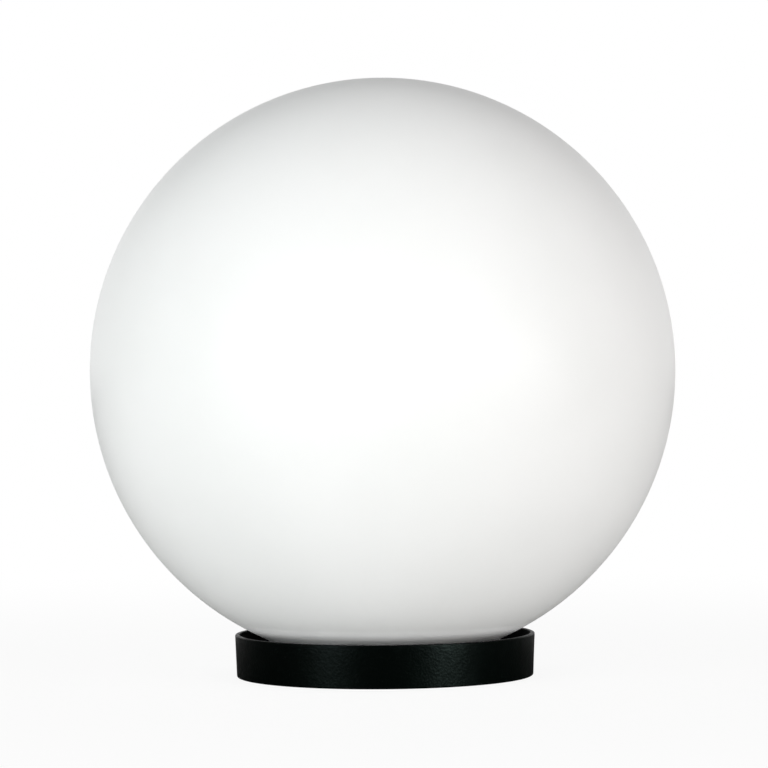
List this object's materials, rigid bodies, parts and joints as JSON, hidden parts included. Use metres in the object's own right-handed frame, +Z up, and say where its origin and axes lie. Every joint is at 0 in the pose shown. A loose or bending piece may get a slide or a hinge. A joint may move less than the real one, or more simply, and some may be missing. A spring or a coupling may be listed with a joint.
{
  "type": "post top light",
  "caption": "Opal globe light for a post end: the neck twist-locks into a low round gallery that holds a screw-cap lamp.",
  "frame": {"origin": "centre of the gallery's foot, on the surface that the light stands on", "axes": "+Z up, along the post's axis and the globe's; +Y towards the terminal block"},
  "size_m": [0.2999, 0.2998, 0.3066],
  "materials": {
    "opal_globe": "glossy opal acrylic",
    "gallery_black": "black moulded plastic with a fine grain",
    "seal_rubber": "matt rubber",
    "plated_steel": "zinc plated steel",
    "tray_steel": "white enamelled steel",
    "porcelain": "white glazed porcelain",
    "nickel": "bright nickel plate",
    "contact_brass": "rolled brass",
    "terminal_brass": "machined brass",
    "block_nylon": "natural nylon",
    "lead_brown": "brown insulation",
    "lead_blue": "blue insulation",
    "lead_green_yellow": "green insulation with a yellow stripe",
    "tag_tin": "tinned copper",
    "lamp_cap_metal": "bright aluminium",
    "lamp_insulator_black": "black moulding",
    "lamp_white": "white moulding",
    "lamp_frost": "frosted white diffuser",
    "board_white": "white coated aluminium board",
    "chip_phosphor": "yellow phosphor"
  },
  "bodies": {
    "gallery": {"gallery_base": "gallery_black", "post_clamp_screws": "plated_steel", "post_clamp_nuts": "plated_steel", "gear_tray": "tray_steel", "cable_grommet": "seal_rubber", "holder_bridge": "plated_steel", "bridge_screws": "plated_steel", "tray_screws": "plated_steel", "lampholder_screws": "plated_steel", "earth_screw": "plated_steel", "lampholder_body": "porcelain", "lampholder_shell": "nickel", "centre_contact": "contact_brass", "shell_contact": "contact_brass", "holder_terminals": "terminal_brass", "holder_terminal_screws": "plated_steel", "terminal_block": "block_nylon", "terminal_tubes": "terminal_brass", "terminal_screws": "plated_steel", "terminal_block_screws": "plated_steel", "earth_ring_tag": "tag_tin", "live_lead": "lead_brown", "neutral_lead": "lead_blue", "earth_lead": "lead_green_yellow"},
    "neck_seal": {"neck_gasket": "seal_rubber"},
    "globe": {"globe": "opal_globe"},
    "lamp_tip": {"lamp_tip_contact": "contact_brass", "lamp_insulator": "lamp_insulator_black"},
    "lamp": {"lamp_cap_shell": "lamp_cap_metal", "lamp_body": "lamp_white", "led_board": "board_white", "led_chips": "chip_phosphor", "lamp_diffuser": "lamp_frost"}
  },
  "joints": [
    {"name": "globe_lift", "type": "slide", "parent": "gallery", "child": "neck_seal", "axis": [0, 0, 1], "range_m": [0, 0.2]},
    {"name": "globe_turn", "type": "hinge", "parent": "neck_seal", "child": "globe", "pos_m": [0, 0, 0.0087], "axis": [0, 0, 1], "range_deg": [-30, 0]},
    {"name": "lamp_rise", "type": "slide", "parent": "gallery", "child": "lamp_tip", "axis": [0, 0, 1], "range_m": [0, 0.01815]},
    {"name": "lamp_turn", "type": "hinge", "parent": "lamp_tip", "child": "lamp", "pos_m": [0, 0, 0.0867], "axis": [0, 0, 1], "range_deg": [0, 1800]}
  ],
  "couplings": [
    {"joint": "lamp_rise", "follows": "lamp_turn", "m_per_rad": 0.00057757}
  ]
}
